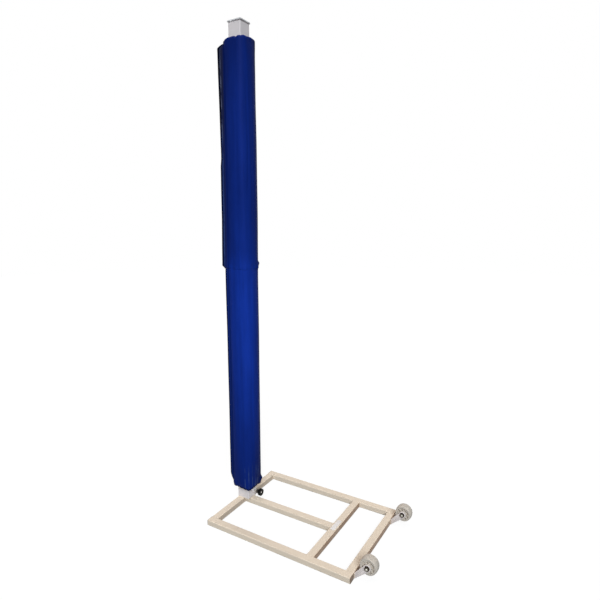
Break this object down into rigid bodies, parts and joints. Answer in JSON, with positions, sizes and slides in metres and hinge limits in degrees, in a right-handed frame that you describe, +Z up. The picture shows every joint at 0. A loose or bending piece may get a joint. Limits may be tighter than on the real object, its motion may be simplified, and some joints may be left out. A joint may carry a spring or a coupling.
{
  "type": "volleyball post",
  "caption": "Portable padded volleyball post: a tall square post with blue foam wraps, locked on the spigot of a welded base frame with tip-back wheels.",
  "frame": {"origin": "on the floor under the post's axis", "axes": "+X along the base frame from the post towards the wheels, +Y across the frame, +Z up the post"},
  "size_m": [0.9733, 0.6, 2.556],
  "materials": {
    "frame_paint": "satin cream paint",
    "post_paint": "satin off-white paint",
    "cap_plastic": "smooth off-white moulding",
    "plug_plastic": "smooth dark moulding",
    "pad_vinyl": "satin royal blue vinyl-coated fabric",
    "pad_foam": "open foam",
    "hook_tape": "hook-and-loop tape",
    "bracket_paint": "satin pale grey paint",
    "wheel_plastic": "moulded pale grey nylon",
    "bush_plastic": "plain bearing plastic",
    "bright_steel": "zinc plated",
    "dark_steel": "black oxide",
    "knob_plastic": "black moulding",
    "label_white": "blank film label"
  },
  "bodies": {
    "base": {"front_rail": "frame_paint", "near_side_rail": "frame_paint", "far_side_rail": "frame_paint", "middle_rail": "frame_paint", "cross_rail": "frame_paint", "rear_rail": "frame_paint", "near_front_plug": "plug_plastic", "near_rear_plug": "plug_plastic", "far_front_plug": "plug_plastic", "far_rear_plug": "plug_plastic", "foot_plate": "frame_paint", "spigot": "frame_paint", "near_outer_bracket": "bracket_paint", "near_inner_bracket": "bracket_paint", "near_axle_bolt": "bright_steel", "near_axle_washer": "dark_steel", "near_axle_nut": "dark_steel", "far_inner_bracket": "bracket_paint", "far_outer_bracket": "bracket_paint", "far_axle_bolt": "bright_steel", "far_axle_washer": "dark_steel", "far_axle_nut": "dark_steel", "label": "label_white"},
    "post_body": {"post": "post_paint", "post_cap": "cap_plastic", "lower_pad_cover": "pad_vinyl", "lower_pad_foam": "pad_foam", "lower_pad_strip": "hook_tape", "upper_pad_cover": "pad_vinyl", "upper_pad_foam": "pad_foam", "upper_pad_strip": "hook_tape", "lock_boss": "post_paint"},
    "clamp_tip": {"pressure_pad": "bright_steel"},
    "clamp_screw": {"lock_stud": "bright_steel", "jam_nut": "dark_steel", "lock_knob": "knob_plastic"},
    "near_wheel_body": {"near_wheel": "wheel_plastic", "near_wheel_bush": "bush_plastic"},
    "far_wheel_body": {"far_wheel": "wheel_plastic", "far_wheel_bush": "bush_plastic"}
  },
  "joints": [
    {"name": "post_lift", "type": "slide", "parent": "base", "child": "post_body", "axis": [0, 0, 1], "range_m": [0, 0.36]},
    {"name": "clamp_advance", "type": "slide", "parent": "post_body", "child": "clamp_tip", "axis": [1, 0, 0], "range_m": [0, 0.0053]},
    {"name": "knob_turn", "type": "hinge", "parent": "clamp_tip", "child": "clamp_screw", "pos_m": [0.0935, 0, 0.076], "axis": [1, 0, 0], "range_deg": [0, 1080]},
    {"name": "near_wheel_spin", "type": "hinge", "parent": "base", "child": "near_wheel_body", "pos_m": [0.852, -0.23, 0.076], "axis": [0, 1, 0], "continuous": true},
    {"name": "far_wheel_spin", "type": "hinge", "parent": "base", "child": "far_wheel_body", "pos_m": [0.852, 0.23, 0.076], "axis": [0, 1, 0], "continuous": true}
  ],
  "couplings": [
    {"joint": "clamp_advance", "follows": "knob_turn", "m_per_rad": 0.00027852}
  ]
}
